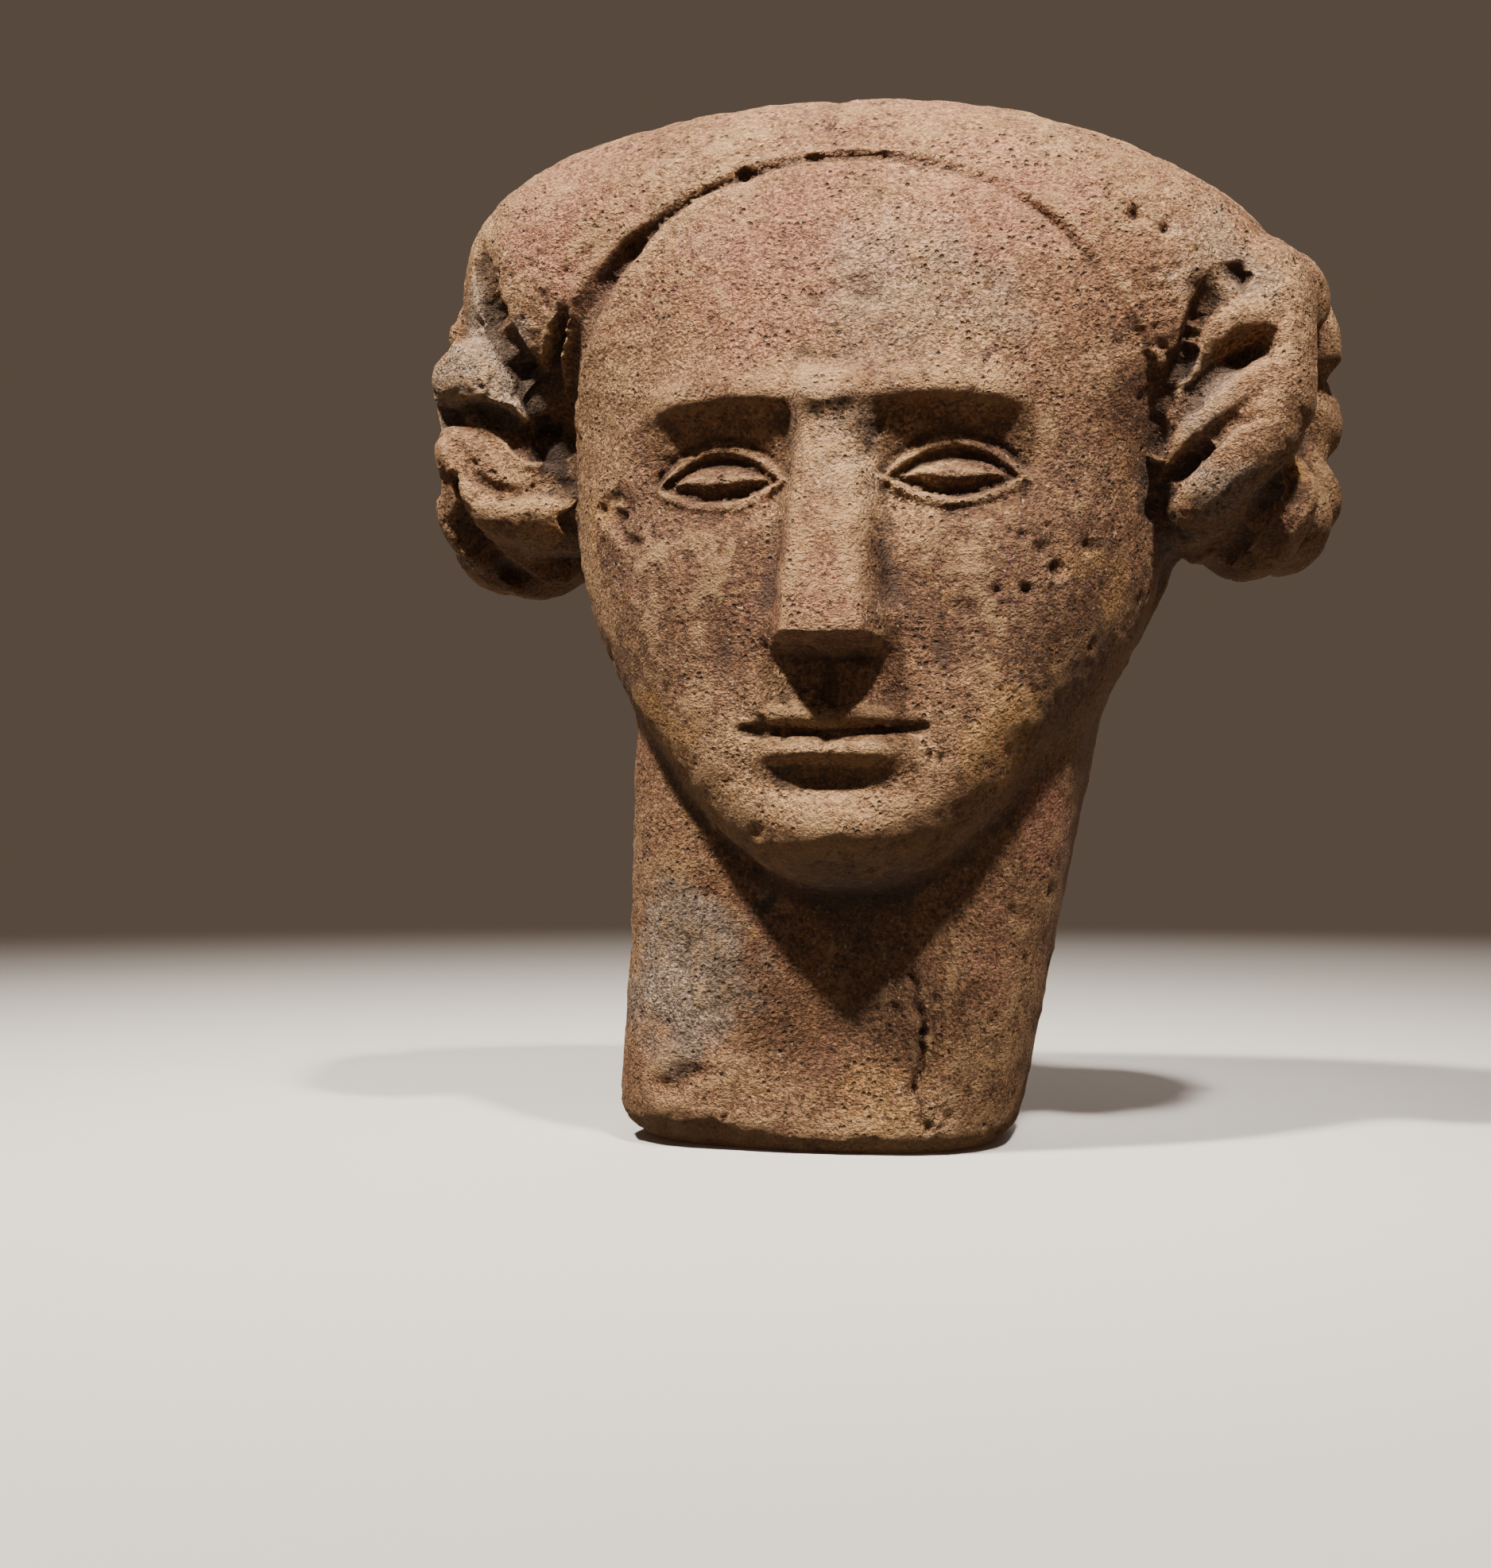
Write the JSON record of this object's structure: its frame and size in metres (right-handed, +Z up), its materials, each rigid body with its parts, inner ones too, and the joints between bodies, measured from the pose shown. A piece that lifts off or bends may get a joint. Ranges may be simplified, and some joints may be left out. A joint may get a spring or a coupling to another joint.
{
  "type": "carved stone head",
  "caption": "Broad-necked carved sandstone head with a smooth parted cap of hair and a twisted roll over each ear, cut off flat under the neck",
  "frame": {"origin": "on the ground under the middle of the head's bounding box", "axes": "+Z up from the underside of the neck to the crown, the face looks along -Y, +X to the viewer's right as the face is looked at"},
  "size_m": [0.4616, 0.2826, 0.5084],
  "materials": {
    "sandstone": "weathered coarse sandstone"
  },
  "bodies": {
    "root": {"stone_head": "sandstone"}
  },
  "joints": []
}
